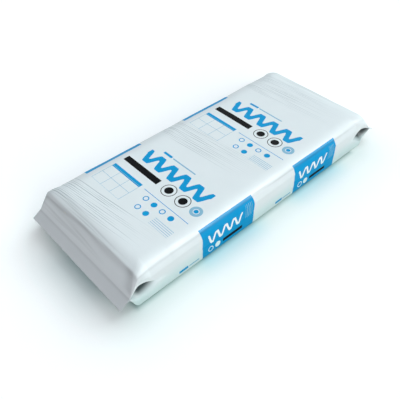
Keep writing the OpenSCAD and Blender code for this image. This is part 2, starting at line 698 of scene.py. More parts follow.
@dataclass(frozen=True)
class BagForm:
    """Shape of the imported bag: a gusseted tube pinched flat at both ends.

    A depth is a distance along X inside the seal, and negative on the fin.
    """

    seal_x: float
    half_width: float
    height: float
    top_edge_radius: float = 45 * MM
    bottom_edge_radius: float = 5 * MM
    seal_height: float = 65 * MM
    # The top falls gently over the shoulder, from its start to its brow, and then steeply to the seal
    shoulder_start: float = 86 * MM
    shoulder_edge: float = 39 * MM
    shoulder_fall: float = 9 * MM
    shoulder_softness: float = 3 * MM
    brow_softness: float = 9 * MM
    # Top edges of the -Y and +Y sides
    left_edge: TopEdge = TopEdge(start=1.45, bend=0.74, crease=(0.27, 0.43), turn=(0.06, 0.78))
    right_edge: TopEdge = TopEdge(start=1.45, bend=0.87, crease=(0.233, 0.3), turn=(0.06, 0.7))
    # Pockets of the -X and +X ends
    near: Pocket = Pocket(
        run=110 * MM,
        rise=34 * MM,
        rise_skew=0.65,
        fall=26 * MM,
        fall_skew=0.65,
        share=0.5,
        flap_slope=0.85,
        foot=25 * MM,
        foot_softness=22 * MM,
    )
    far: Pocket = Pocket(
        run=116 * MM,
        rise=27 * MM,
        rise_skew=1.4,
        fall=34 * MM,
        fall_skew=0.6,
        share=0.7,
        flap_slope=0.42,
        foot=59 * MM,
        foot_softness=12 * MM,
    )
    # Height at which the bottom film would leave the seal, how steeply it rises at the foot, and its bend
    flap_height: float = 53.5 * MM
    foot_slope: float = 2.4
    flap_softness: float = 10 * MM
    # Tuck of the gusset's crease at the seal, and the softness with which it runs out on the wall
    gusset_depth: float = 72 * MM
    crease_softness: float = 8 * MM
    # Least height of a lip, the softness of its highest place, and its rounding by its height
    lip_floor: float = 6 * MM
    lip_softness: float = 12 * MM
    lip_round: float = 0.35
    # Share of the room beside a lip that the edge next to it takes
    fold_share: float = 0.8
    # Depth of the fins along their slope
    fin_depth: float = 41 * MM
    fin_thickness: float = 2 * MM
    fin_droop: float = math.radians(31)
    # How much deeper the -X fin is at its -Y end than at the other
    fin_skew: float = 6 * MM
    # Distance of the wool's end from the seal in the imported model
    wool_setback: float = 4 * MM
    # How far the mesh rows of the lips spread apart on the plain wall past the pockets, and over what run
    row_spread: float = 14 * MM
    row_spread_run: float = 80 * MM
    steps: SectionSteps = SectionSteps()

    @classmethod
    def from_frame(cls) -> "BagForm":
        """Read the bag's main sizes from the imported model.

        Returns:
            The bag's form.
        """
        film_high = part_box("film_bag")[1]
        wool_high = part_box("wool_fill")[1]
        return cls(seal_x=wool_high.x + cls.wool_setback, half_width=film_high.y, height=film_high.z)

    @property
    def pocket_run(self) -> float:
        """Return the length of the longer pockets."""
        return max(self.near.run, self.far.run)

    @property
    def fold_start(self) -> float:
        """Return the film distance from the top's middle line to the start of the top edge's rounding."""
        return self.half_width - self.top_edge_radius

    @property
    def fold_end(self) -> float:
        """Return the film distance to the end of the top edge's rounding."""
        return self.fold_start + math.pi / 2 * self.top_edge_radius

    @property
    def foot_start(self) -> float:
        """Return the film distance to the start of the bottom edge's rounding."""
        return self.fold_end + self.height - self.top_edge_radius - self.bottom_edge_radius

    @property
    def foot_end(self) -> float:
        """Return the film distance to the end of the bottom edge's rounding."""
        return self.foot_start + math.pi / 2 * self.bottom_edge_radius

    def crease_z(self, depth: float) -> float:
        """Return the height of the gusset's crease, which is the middle of the fin, at a depth."""
        return self.seal_height + min(depth, 0.0) * math.tan(self.fin_droop)

    def top_z(self, depth: float) -> float:
        """Return the height of the top panel.

        Args:
            depth: Distance inside the seal.

        Returns:
            The height.
        """
        root = self.crease_z(depth) + self.fin_thickness / 2
        brow = self.height - self.shoulder_fall
        gentle = self.shoulder_fall / (self.shoulder_start - self.shoulder_edge)
        steep = (brow - root) / self.shoulder_edge
        shoulder = brow + gentle * (depth - self.shoulder_edge)
        face = root + steep * max(depth, 0.0)
        return soft_min(soft_min(self.height, shoulder, self.shoulder_softness), face, self.brow_softness)

    def bottom_z(self, depth: float, pocket: Pocket) -> float:
        """Return the height of the bottom panel.

        Args:
            depth: Distance inside the seal.
            pocket: Pocket of that end.

        Returns:
            The height.
        """
        flap = self.flap_height - pocket.flap_slope * depth
        rise = soft_min(flap, self.foot_slope * (pocket.foot - depth), self.flap_softness)
        panel = -soft_min(0.0, -rise, pocket.foot_softness)
        return min(self.crease_z(depth) - self.fin_thickness / 2, panel)

    def tuck(self, depth: float, pocket: Pocket) -> float:
        """Return how far the gusset's crease is tucked in at a depth."""
        left = max(depth, 0.0) / pocket.run - 1
        return -soft_min(0.0, self.gusset_depth * left, self.crease_softness)

    def lip(self, room: float, most: float, opening: float, depth: float, pocket: Pocket) -> float:
        """Return the height of a pocket's lip over or under the crease.

        Args:
            room: Height of the panel over or under the crease.
            most: Greatest height of the lip.
            opening: How far the lip stands open, from 0 to 1.
            depth: Distance inside the seal.
            pocket: Pocket of that end.

        Returns:
            The height.
        """
        plain = smooth((depth - pocket.run - self.crease_softness) / self.row_spread_run)
        height = self.lip_floor + (most - self.lip_floor) * opening + self.row_spread * plain
        limit = pocket.share * room
        return soft_min(limit, height, min(self.lip_softness, 2 * limit))

    def lip_curve(self, crease: Vector, height: float) -> list[Vector]:
        """Return the lip of a pocket, where the upright wall turns in towards the crease.

        Args:
            crease: Innermost point of the gusset.
            height: Height of the lip over the crease, negative under it.

        Returns:
            Points from the wall to the gusset.
        """
        corner = Vector((self.half_width, crease.y + height))
        wall = corner + Vector((0.0, self.lip_round * height))
        panel = corner + (crease - corner).normalized() * self.lip_round * abs(height)
        parts = [i / self.steps.lip for i in range(self.steps.lip + 1)]
        return [wall.lerp(corner, t).lerp(corner.lerp(panel, t), t) for t in parts]

    def edge_radius(self, room: float, lip: float, most: float) -> float:
        """Return the radius of the edge between a panel and the wall beside it.

        Args:
            room: Height of the panel over or under the crease.
            lip: Height of the pocket's lip on that side.
            most: Greatest radius.

        Returns:
            The radius that the lip leaves room for.
        """
        return min(most, self.fold_share * (room - (1 + self.lip_round) * lip))

    def bottom_edge(self, level: float, radius: float) -> list[Vector]:
        """Return a rounded long bottom edge.

        Args:
            level: Height of the bottom panel.
            radius: Radius of the edge.

        Returns:
            Points from the wall to the panel.
        """
        middle = Vector((self.half_width - radius, level + radius))
        turns = [math.pi / 2 * i / self.steps.bottom_fold for i in range(self.steps.bottom_fold + 1)]
        return [middle + radius * Vector((math.cos(a), -math.sin(a))) for a in turns]

    def half_section(self, depth: float, pocket: Pocket, edge: TopEdge) -> list[Vector]:
        """Return half a section, from the top's middle round the gusset to the bottom's middle.

        Args:
            depth: Distance inside the seal.
            pocket: Pocket of that end.
            edge: Top edge of that side.

        Returns:
            Points as Y and Z.
        """
        steps = self.steps
        top, bottom, level = self.top_z(depth), self.bottom_z(depth, pocket), self.crease_z(depth)
        over, under = top - level, level - bottom
        upper = self.lip(over, pocket.rise, pocket.mouth(depth, pocket.rise_skew), depth, pocket)
        lower = self.lip(under, pocket.fall, pocket.mouth(depth, pocket.fall_skew), depth, pocket)
        crease = Vector((self.half_width - self.tuck(depth, pocket), level))
        radius = self.edge_radius(over, upper, self.top_edge_radius)
        corner = Vector((self.half_width, top))
        top_edge = [corner - radius * p for p in edge.curve(steps.top_fold // 2)]
        bottom_radius = self.edge_radius(under, lower, self.bottom_edge_radius)
        stretches = (
            (steps.top, top_edge),
            (steps.upper_wall, self.lip_curve(crease, upper)),
            (steps.gusset, [crease]),
            (steps.gusset, self.lip_curve(crease, -lower)[::-1]),
            (steps.lower_wall, self.bottom_edge(bottom, bottom_radius)),
            (steps.bottom, [Vector((0.0, bottom))]),
        )
        path = [Vector((0.0, top))]
        for count, points in stretches:
            start = path[-1]
            path += [start.lerp(points[0], i / count) for i in range(1, count)] + points
        return path

    def ring(self, x: float) -> list[Vector]:
        """Return a whole section at a place along the bag or, past the seal, along the fin.

        Args:
            x: Distance along the bag, with the fins counted along their slope.

        Returns:
            Points from the bottom's middle by the -Y side, the top and the +Y side back to the start.
        """
        depth = self.seal_x - abs(x)
        if depth < 0:
            depth *= math.cos(self.fin_droop)
        place = math.copysign(self.seal_x - depth, x)
        pocket = self.near if x < 0 else self.far
        left = self.half_section(depth, pocket, self.left_edge)
        right = self.half_section(depth, pocket, self.right_edge)
        ring = [Vector((place, -p.x, p.y)) for p in left[:0:-1]]
        ring += [Vector((place, p.x, p.y)) for p in right]
        skew = self.fin_skew * max(-self.seal_x - x, 0.0) / self.fin_depth
        slope = Vector((-math.cos(self.fin_droop), 0.0, -math.sin(self.fin_droop)))
        return [p + slope * skew * (0.5 - 0.5 * p.y / self.half_width) for p in ring]


class RolledTube:
    """Grid of mesh rolled into a tube, with a column of vertices for each ring of points."""

    # Points of the seam that are this close together are joined
    SEAM_REACH = 0.01 * MM
    # The grid starts as a square with sides of 1
    GRID_HALF = 0.5

    def __init__(self, rings: list[list[Vector]], stations: list[float]) -> None:
        """Roll the grid and lay its film coordinates.

        Args:
            rings: Rings of points, each with its first and last point on the seam.
            stations: Distance along the film of each ring.
        """
        columns, rows = len(rings) - 1, len(rings[0]) - 1
        around = self.distances(rings[len(rings) // 2])
        self.bm = bmesh.new()
        uv = self.bm.loops.layers.uv.new(UV_NAME)
        self.bm.verts.layers.float.new(PAINTED_SHADE_NAME)
        self.bm.verts.layers.float.new(PAINTED_COOL_NAME)
        bmesh.ops.create_grid(self.bm, x_segments=columns, y_segments=rows, size=self.GRID_HALF)
        self.film: dict[bmesh.types.BMVert, Span] = {}
        self.seam = []
        for vert in self.bm.verts:
            i = round((vert.co.x + self.GRID_HALF) * columns)
            j = round((vert.co.y + self.GRID_HALF) * rows)
            self.film[vert] = (stations[i], around[j])
            vert.co = rings[i][j]
            if j in (0, rows):
                self.seam.append(vert)
        for face in self.bm.faces:
            for loop in face.loops:
                loop[uv].uv = self.film[loop.vert]

    def distances(self, ring: list[Vector]) -> list[float]:
        """Measure round a ring from its middle point.

        Args:
            ring: Points of the ring.

        Returns:
            Distance of each point, negative before the middle.
        """
        runs = [0.0]
        for a, b in zip(ring, ring[1:]):
            runs.append(runs[-1] + (b - a).length)
        return [run - runs[len(ring) // 2] for run in runs]

    def close(self) -> None:
        """Join the seam, fill both ends and turn all faces outwards."""
        bmesh.ops.remove_doubles(self.bm, verts=self.seam, dist=self.SEAM_REACH)
        self.film = {vert: place for vert, place in self.film.items() if vert.is_valid}
        edges = [edge for edge in self.bm.edges if edge.is_boundary]
        lids = bmesh.ops.edgeloop_fill(self.bm, edges=edges)["faces"]
        bmesh.ops.triangulate(self.bm, faces=lids, ngon_method="EAR_CLIP")
        bmesh.ops.recalc_face_normals(self.bm, faces=self.bm.faces)
        self.bm.normal_update()

    def finish(self, name: str, material: bpy.types.Material) -> bpy.types.Object:
        """Turn the tube into a smooth object.

        Args:
            name: Name of the object.
            material: Finish of its surface.

        Returns:
            The object.
        """
        mesh = bpy.data.meshes.new(name)
        self.bm.to_mesh(mesh)
        self.bm.free()
        mesh.shade_smooth()
        mesh.materials.append(material)
        piece = bpy.data.objects.new(name, mesh)
        bpy.context.scene.collection.objects.link(piece)
        return piece


@dataclass(frozen=True)
class FoldLine:
    """Soft fold pressed into the film, or a welt if its depth is negative, and how much painted shade it
    has.
    """

    place: float
    depth: float
    width: float
    painted_shade: float = 0.0


@dataclass(frozen=True)
class Waver:
    """Slow waver of a fold: its height, its turn in radians per metre of film, and its phase."""

    height: float
    turn: float
    phase: float = 0.0

    def at(self, places: np.ndarray, shift: float = 0.0) -> np.ndarray:
        """Return the waver at each place, with its phase shifted."""
        return self.height * np.sin(self.turn * places + self.phase + shift)


@dataclass(frozen=True)
class Swell:
    """Uneven swell of the film: the size of its lumps along and across, its height and its noise layer."""

    along: float
    across: float
    height: float
    layer: float

    def at(self, u: np.ndarray, w: np.ndarray) -> np.ndarray:
        """Return the swell at each film distance along the bag and from the top's middle line."""
        spots = [Vector((a / self.along, b / self.across, self.layer)) for a, b in zip(u, w)]
        return self.height * np.array([noise.noise(spot) for spot in spots])


@dataclass(frozen=True)
class WrinkleShape:
    """Shape of the modelled wrinkles, with the ranges from which each one is drawn.

    Attributes:
        place: Where it lies in its own part of the zone.
        width: Half width of its ridge.
        height: Its height, as a share of the zone's greatest.
        start: Film distance from the top's middle line at which the outermost ones start.
        setback: How much further in it starts.
        longest: Length of a wrinkle with a reach of 1.
        bow: How far its ends are off its middle.
        rise: Share of its length over which it rises.
        fade: Share of its length at which it begins to fade.
        valley: Depth of the valley beside it, by its height.
        valley_shift: Distance to the valley, by its width.
    """

    place: Span = (0.2, 0.8)
    width: Span = (2.0 * MM, 3.4 * MM)
    height: Span = (0.45, 1.0)
    start: float = 300 * MM
    setback: Span = (0.0, 100 * MM)
    longest: float = 520 * MM
    bow: Span = (-6 * MM, 6 * MM)
    rise: float = 0.18
    fade: float = 0.45
    valley: float = 0.6
    valley_shift: float = 1.7


@dataclass(frozen=True)
class CreaseShape:
    """Short creases across the end faces and shoulders, with the ranges from which each one is drawn.

    Attributes:
        count: Number of creases.
        first: Depth of the first one inside the seal.
        pitch: Distance from each to the next.
        stray: How far it lies off its place.
        middle: Film distance of its middle from the top's middle line.
        reach: Half its length.
        tilt: Its slope.
        width: Its half width.
        strength: Its depth and painted shade, as a share of the greatest.
        depth: Greatest depth.
        painted_shade: Greatest painted shade.
    """

    count: int = 12
    first: float = 10 * MM
    pitch: float = 5.5 * MM
    stray: Span = (-2 * MM, 2 * MM)
    middle: Span = (-100 * MM, 180 * MM)
    reach: Span = (50 * MM, 140 * MM)
    tilt: Span = (-0.03, 0.03)
    width: Span = (1.8 * MM, 2.8 * MM)
    strength: Span = (0.5, 1.0)
    depth: float = 1.3 * MM
    painted_shade: float = 0.2


@dataclass
class FilmBag:
    """Printed film tube with its gusset pockets, end fins, fold lines and wrinkles.

    A depth is a distance inside the seal, and an edge's place is measured from the start of its rounding.
    """

    form: BagForm
    finish: FilmFinish = field(default_factory=FilmFinish)
    layout: PrintLayout = field(default_factory=PrintLayout)
    # Mesh steps along the plain body, the wrinkled zones and the folded ends
    coarse_step: float = 7.5 * MM
    wrinkle_step: float = 2.0 * MM
    fold_step: float = 2.2 * MM
    seed: int = 11
    zones: tuple[WrinkleZone, ...] = (
        WrinkleZone(
            (-0.575, -0.452), 12, 0.35 * MM, reach=(0.25, 0.9), lean=0.11, fade=(-0.22, 0.1), strength=1.0
        ),
        WrinkleZone(
            (-0.085, 0.050), 8, 0.3 * MM, reach=(0.3, 0.95), lean=0.087, fade=(-0.22, 0.12), strength=0.9
        ),
        WrinkleZone(
            (0.400, 0.570), 9, 0.3 * MM, reach=(0.3, 0.9), lean=0.058, fade=(-0.24, 0.1), strength=0.75
        ),
    )
    wrinkle: WrinkleShape = WrinkleShape()
    crease: CreaseShape = CreaseShape()
    # Fold lines along the long sides, with their places past the start of the top edge's rounding
    side_lines: tuple[FoldLine, ...] = (
        FoldLine(37 * MM, 0.8 * MM, 4.0 * MM, 0.28),
        FoldLine(106 * MM, 0.7 * MM, 6 * MM),
    )
    # These lines grow weaker and stronger along the bag, and drift and ripple across it
    side_strength: Waver = Waver(0.25, 5.0, 1.3)
    side_drift: Waver = Waver(2 * MM, 9.0)
    side_ripple: Waver = Waver(1 * MM, 31.0)
    # Painted shade along the +Y edge, which is turned away from the fill lamp
    back_band: FoldLine = FoldLine(14 * MM, 0.0, 30 * MM, 0.09)
    # Folds across the ends with painted shade in them, with their depths inside the seal and their waver
    end_lines: tuple[FoldLine, ...] = (
        FoldLine(35 * MM, 1.4 * MM, 6.0 * MM, 0.12),
        FoldLine(-3 * MM, 0.25 * MM, 5.0 * MM, 0.08),
    )
    end_waves: tuple[Waver, ...] = (Waver(1.5 * MM, 11.0), Waver(1.0 * MM, 29.0, 1.0))
    # How much nearer the seal these run at the +Y side, and the film distances over which they bend there
    end_line_bend: float = 9 * MM
    end_bend_run: Span = (50 * MM, 250 * MM)
    # Places past the start of the top edge's rounding between which the folds of the ends run out
    end_border: Span = (15 * MM, 50 * MM)
    # Fold with painted shade on the -Y side of the end faces, with its place from the start of the top
    # edge's rounding
    corner_line: FoldLine = FoldLine(-24 * MM, 0.8 * MM, 18 * MM, 0.2)
    # Depths between which that line sets in and ends
    corner_start: Span = (2 * MM, 12 * MM)
    corner_end: Span = (38 * MM, 46 * MM)
    # Film that is smoothed round the pockets: how far it is inside the seal and goes past the pocket,
    # how far it is inside the top and bottom edges, and how often and how much it is smoothed
    soft_ends: Span = (6 * MM, 20 * MM)
    soft_rows: Span = (4 * MM, 8 * MM)
    soft_passes: int = 2
    soft_factor: float = 0.5
    # Half the width of the soft border between the top edge and the wall, and the width of the foot's
    wall_border: float = 5 * MM
    foot_border: float = 1 * MM
    # How far in the film of the pockets the painted shade starts and is full, at each end, and how dark it
    # is
    near_band: Span = (2 * MM, 22 * MM)
    far_band: Span = (2 * MM, 17 * MM)
    pocket_dim: float = 0.95
    # Depths at which the painted shade in the pocket of the -X end starts and is full
    pocket_start: Span = (12 * MM, 46 * MM)
    # Share of the painted shade just inside the lip of the +X end's pocket, and depths over which half of
    # it goes
    far_rim: float = 0.45
    far_end: Span = (62 * MM, 104 * MM)
    # How dark the painted shade at the foot is, and how far that reaches under the bag and up its wall
    foot_dim: float = 0.05
    foot_reach: float = 30 * MM
    foot_height: float = 20 * MM
    # Painted shade makes the shoulder over the -X end face dimmer than the top: depths at which that starts
    # and is full
    brow_band: Span = (90 * MM, 45 * MM)
    brow_dim: float = 0.14
    # The same painted shade for the end face under it, and its fin
    face_band: Span = (40 * MM, 33 * MM)
    face_dim: float = 0.05
    fin_dim: float = 0.2
    # Heights at which the painted cool shade of the sides is full and gone
    low_band: Span = (24 * MM, 84 * MM)
    # Runs over which that tone sets in, down from the top edge and in from the seal
    low_start: float = 20 * MM
    low_end: float = 10 * MM
    # Swell of the wool behind the film, broad and small, and the depth at which it is full
    swells: tuple[Swell, ...] = (
        Swell(160 * MM, 120 * MM, 1.5 * MM, 3.0),
        Swell(50 * MM, 60 * MM, 0.35 * MM, 8.0),
    )
    swell_start: float = 40 * MM
    # Sag of the wall: its film distances and depths, its height, and how it is fuller towards the ends
    sag_rows: Span = (300 * MM, 360 * MM)
    sag_start: Span = (30 * MM, 70 * MM)
    sag_height: float = 1.5 * MM
    sag_welt: FoldLine = FoldLine(85 * MM, -5 * MM, 60 * MM)
    # Distances before the foot's rounding and before its end between which the film comes to lie flat
    flat_band: Span = (14 * MM, 9 * MM)
    # The folded side edges of the fins spring open a little, from a short way past the seal
    fin_bead: float = 0.3 * MM
    fin_bead_start: float = 6 * MM

    def stations(self) -> list[float]:
        """Space out the sections, close together where the film is folded or wrinkled.

        Returns:
            Places along the bag, with the fins counted along their slope.
        """
        tip = self.form.seal_x + self.form.fin_depth
        folded = self.form.seal_x - self.form.pocket_run - self.form.crease_softness
        places = [-tip]
        while places[-1] < tip:
            x = places[-1]
            wrinkled = any(zone.along[0] < x < zone.along[1] for zone in self.zones)
            step = self.wrinkle_step if wrinkled else self.coarse_step
            places.append(x + (self.fold_step if abs(x) > folded else step))
        stretch = 2 * tip / (places[-1] - places[0])
        return [-tip + (x + tip) * stretch for x in places]

    def build(self) -> bpy.types.Object:
        """Model the film, and print and finish it.

        Returns:
            The film's object.
        """
        stations = self.stations()
        tube = RolledTube([self.form.ring(x) for x in stations], stations)
        tube.close()
        self.soften(tube)
        self.press(tube)
        return tube.finish("film_skin", self.finish.build(self.layout, self.zones))

    def soften(self, tube: RolledTube) -> None:
        """Round the creases of the gusset pockets.

        Args:
            tube: Mesh of the film.
        """
        form = self.form
        outer = form.seal_x - self.soft_ends[0]
        inner = form.seal_x - form.pocket_run - self.soft_ends[1]
        low, high = form.fold_end + self.soft_rows[0], form.foot_start - self.soft_rows[1]
        pocket = [v for v, (u, w) in tube.film.items() if inner < abs(u) < outer and low < abs(w) < high]
        axes = {"use_axis_x": True, "use_axis_y": True, "use_axis_z": True}
        for _ in range(self.soft_passes):
            bmesh.ops.smooth_vert(tube.bm, verts=pocket, factor=self.soft_factor, **axes)
        tube.bm.normal_update()

    def press(self, tube: RolledTube) -> None:
        """Press fold lines, wrinkles and soft lumps into the film, and mark its painted shade and painted
        cool shade.

        Args:
            tube: Mesh of the film.
        """
        verts = list(tube.film)
        u = np.array([tube.film[v][0] for v in verts])
        w = np.array([tube.film[v][1] for v in verts])
        places = np.array([v.co for v in verts])
        side_lift, side_painted_shade = self.side_folds(u, w)
        end_lift, end_painted_shade = self.end_folds(u, w)
        lift = side_lift + end_lift + self.wrinkles(u, w) + self.lumps(u, w)
        start, end = self.form.foot_start - self.flat_band[0], self.form.foot_end - self.flat_band[1]
        lift *= 1 - smooth_steps(start, end, np.abs(w))
        painted_shade = np.clip(side_painted_shade + end_painted_shade + self.painted_shade_share(u, w, places), 0.0, 1.0)
        low = self.painted_cool_share(u, w, places)
        layers = tube.bm.verts.layers.float
        for vert, amount, shade, cool in zip(verts, lift, painted_shade, low):
            vert.co += vert.normal * float(amount)
            vert[layers[PAINTED_SHADE_NAME]] = float(shade)
            vert[layers[PAINTED_COOL_NAME]] = float(cool)

    def painted_cool_share(self, u: np.ndarray, w: np.ndarray, places: np.ndarray) -> np.ndarray:
        """Return the share of painted cool shade on the film of the long sides, which grows near the floor.

        Args:
            u: Film distance along the bag of each vertex.
            w: Film distance from the top's middle line of each vertex.
            places: Place of each vertex.

        Returns:
            1 low on the sides, and 0 high on them and elsewhere.
        """
        on_side = smooth_steps(self.form.fold_end - self.low_start, self.form.fold_end, np.abs(w))
        inside = smooth_steps(0.0, self.low_end, self.form.seal_x - np.abs(u))
        return on_side * inside * (1 - smooth_steps(*self.low_band, places[:, 2]))

    def painted_shade_share(self, u: np.ndarray, w: np.ndarray, places: np.ndarray) -> np.ndarray:
        """Return the painted shade deep in the pockets, at the foot, on the fins and on one shoulder.

        Args:
            u: Film distance along the bag of each vertex.
            w: Film distance from the top's middle line of each vertex.
            places: Place of each vertex.

        Returns:
            Share of painted shade of each vertex, from 0 to 1.
        """
        form = self.form
        across = np.abs(w)
        upper = smooth_steps(form.fold_end - self.wall_border, form.fold_end + self.wall_border, across)
        on_wall = upper * (1 - smooth_steps(form.foot_start - self.foot_border, form.foot_start, across))
        on_foot = upper * (1 - smooth_steps(form.foot_end, form.foot_end + self.foot_reach, across))
        depth = form.seal_x - np.abs(u)
        near = u < 0
        inward = form.half_width - np.abs(places[:, 1])
        near_pocket = smooth_steps(*self.near_band, inward) * smooth_steps(*self.pocket_start, depth)
        far_pocket = self.far_rim * smooth_steps(0.0, self.far_band[0], inward)
        far_pocket += (1 - self.far_rim) * smooth_steps(*self.far_band, inward)
        far_pocket *= (depth > 0) * (1 - smooth_steps(*self.far_end, depth) / 2)
        pocket = self.pocket_dim * np.where(near, near_pocket, far_pocket)
        foot = self.foot_dim * (1 - smooth_steps(0.0, self.foot_height, places[:, 2]))
        end = self.brow_dim * smooth_steps(*self.brow_band, depth)
        end += (self.face_dim - self.brow_dim) * smooth_steps(*self.face_band, depth)
        end = np.where(depth < 0, self.fin_dim, (1 - upper) * end)
        return on_wall * pocket + on_foot * foot + near * end

    def wrinkles(self, u: np.ndarray, w: np.ndarray) -> np.ndarray:
        """Raise the wrinkles that run across the top.

        Args:
            u: Film distance along the bag of each vertex.
            w: Film distance from the top's middle line of each vertex.

        Returns:
            Height of each vertex.
        """
        draw = random.Random(self.seed)
        shape = self.wrinkle
        total = np.zeros_like(u)
        for zone in self.zones:
            low, high = zone.along
            for k in range(zone.count):
                place = low + (high - low) * (k + draw.uniform(*shape.place)) / zone.count
                width = draw.uniform(*shape.width)
                height = zone.height * draw.uniform(*shape.height)
                start = shape.start - draw.uniform(*shape.setback)
                length = shape.longest * draw.uniform(*zone.reach)
                bow = draw.uniform(*shape.bow)
                part = np.clip((start - w) / length, 0.0, 1.0)
                line = place - zone.lean * w + bow * (2 * part - 1) ** 2
                taper = smooth_steps(0.0, shape.rise, part) * (1 - smooth_steps(shape.fade, 1.0, part))
                valley = shape.valley * bell(u, line + shape.valley_shift * width, width)
                total += height * taper * (bell(u, line, width) - valley)
        return total

    def side_folds(self, u: np.ndarray, w: np.ndarray) -> tuple[np.ndarray, np.ndarray]:
        """Press the fold lines along the long sides, and give them and the +Y edge painted shade.

        Args:
            u: Film distance along the bag of each vertex.
            w: Film distance from the top's middle line of each vertex.

        Returns:
            Height and painted shade of each vertex.
        """
        height = np.zeros_like(u)
        band = self.back_band
        painted_shade = band.painted_shade * bell(w, self.form.fold_start + band.place, band.width)
        strength = 1 - self.side_strength.height + self.side_strength.at(u)
        for side in (-1, 1):
            drift = self.side_drift.at(u, side) + self.side_ripple.at(u)
            for line in self.side_lines:
                middle = self.form.fold_start + line.place + drift
                fold = strength * bell(side * w, middle, line.width)
                height -= line.depth * fold
                painted_shade += line.painted_shade * fold
        return height, painted_shade

    def end_folds(self, u: np.ndarray, w: np.ndarray) -> tuple[np.ndarray, np.ndarray]:
        """Press the folds that frame the end faces and the creases that run across them, with painted shade
        in them.

        Args:
            u: Film distance along the bag of each vertex.
            w: Film distance from the top's middle line of each vertex.

        Returns:
            Height and painted shade of each vertex.
        """
        depth = self.form.seal_x - np.abs(u)
        wave = sum(waver.at(w) for waver in self.end_waves)
        bend = wave - self.end_line_bend * smooth_steps(*self.end_bend_run, w)
        corner = self.corner_line
        on_face = smooth_steps(*self.corner_start, depth) * (1 - smooth_steps(*self.corner_end, depth))
        fold = on_face * bell(-w, self.form.fold_start + corner.place, corner.width)
        height = -corner.depth * fold
        painted_shade = corner.painted_shade * fold
        for line in self.end_lines:
            fold = bell(depth, line.place + bend * (line.place > 0), line.width)
            height -= line.depth * fold
            painted_shade += line.painted_shade * fold
        draw = random.Random(self.seed + 1)
        shape = self.crease
        for k in range(shape.count):
            place = shape.first + shape.pitch * k + draw.uniform(*shape.stray)
            middle = draw.uniform(*shape.middle)
            reach = draw.uniform(*shape.reach)
            tilt = draw.uniform(*shape.tilt)
            width = draw.uniform(*shape.width)
            fold = draw.uniform(*shape.strength) * bell(w, middle, reach)
            fold *= bell(depth, place + tilt * (w - middle) + wave, width)
            height -= shape.depth * fold
            painted_shade += shape.painted_shade * fold
        low, high = (self.form.fold_start + place for place in self.end_border)
        on_top = 1 - smooth_steps(low, high, np.abs(w))
        return height * on_top, painted_shade * on_top

    def lumps(self, u: np.ndarray, w: np.ndarray) -> np.ndarray:
        """Swell the film over the uneven wool, let its wall sag and open the folded edges of the fins.

        Args:
            u: Film distance along the bag of each vertex.
            w: Film distance from the top's middle line of each vertex.

        Returns:
            Height of each vertex.
        """
        depth = self.form.seal_x - np.abs(u)
        across = np.abs(w)
        swell = smooth_steps(0.0, self.swell_start, depth) * sum(part.at(u, w) for part in self.swells)
        on_foot = smooth_steps(*self.sag_rows, across) * smooth_steps(*self.sag_start, depth)
        welt = self.sag_welt
        sag = on_foot * (self.sag_height - welt.depth * bell(depth, welt.place, welt.width))
        on_edge = smooth_steps(self.form.fold_start, self.form.fold_end, across)
        bead = self.fin_bead * on_edge * (1 - smooth_steps(-self.fin_bead_start, 0.0, depth))
        return swell + sag + bead


@dataclass
class WoolFill:
    """Compressed wool inside the film."""

    form: BagForm
    finish: WoolFinish = field(default_factory=WoolFinish)
    # Distance inside the film, and inside the seals
    inset: float = 7 * MM
    end_gap: float = 34 * MM
    # Mesh step along the bag
    step: float = 15 * MM
    tuft_size: float = 30 * MM
    tuft_height: float = 1.5 * MM

    def build(self) -> bpy.types.Object:
        """Model the wool and finish it.

        Returns:
            The wool's object.
        """
        end = self.form.seal_x - self.end_gap
        count = math.ceil(2 * end / self.step)
        stations = [-end + 2 * end * i / count for i in range(count + 1)]
        tube = RolledTube([self.form.ring(x) for x in stations], stations)
        middle = self.form.height / 2
        shrink = Vector((1.0, 1 - self.inset / self.form.half_width, 1 - self.inset / middle))
        lift = Vector((0.0, 0.0, middle * (1 - shrink.z)))
        bmesh.ops.scale(tube.bm, vec=shrink, verts=tube.bm.verts)
        bmesh.ops.translate(tube.bm, vec=lift, verts=tube.bm.verts)
        tube.close()
        for vert in tube.bm.verts:
            vert.co += vert.normal * self.tuft_height * noise.noise(vert.co / self.tuft_size)
        return tube.finish("wool_core", self.finish.build())


@dataclass(frozen=True)
class Lamp:
    """Broad, far lamp, with its direction from the bag, its strength and its spread in degrees.

    A lamp that isn't diffuse only shows as a sheen on glossy things.
    """

    name: str
    tint: str
    place: tuple[float, float, float]
    strength: float
    spread: float
    casts_shadow: bool = False
    diffuse: bool = True

    def hang(self, scene: bpy.types.Scene) -> None:
        """Add the lamp to the scene.

        Args:
            scene: Scene that it belongs to.
        """
        data = bpy.data.lights.new(self.name, "SUN")
        data.energy = self.strength
        data.color = linear(self.tint)[:3]
        data.angle = math.radians(self.spread)
        data.use_shadow = self.casts_shadow
        lamp = bpy.data.objects.new(self.name, data)
        lamp.rotation_euler = (-Vector(self.place)).to_track_quat("-Z", "Y").to_euler()
        lamp.visible_diffuse = self.diffuse
        scene.collection.objects.link(lamp)


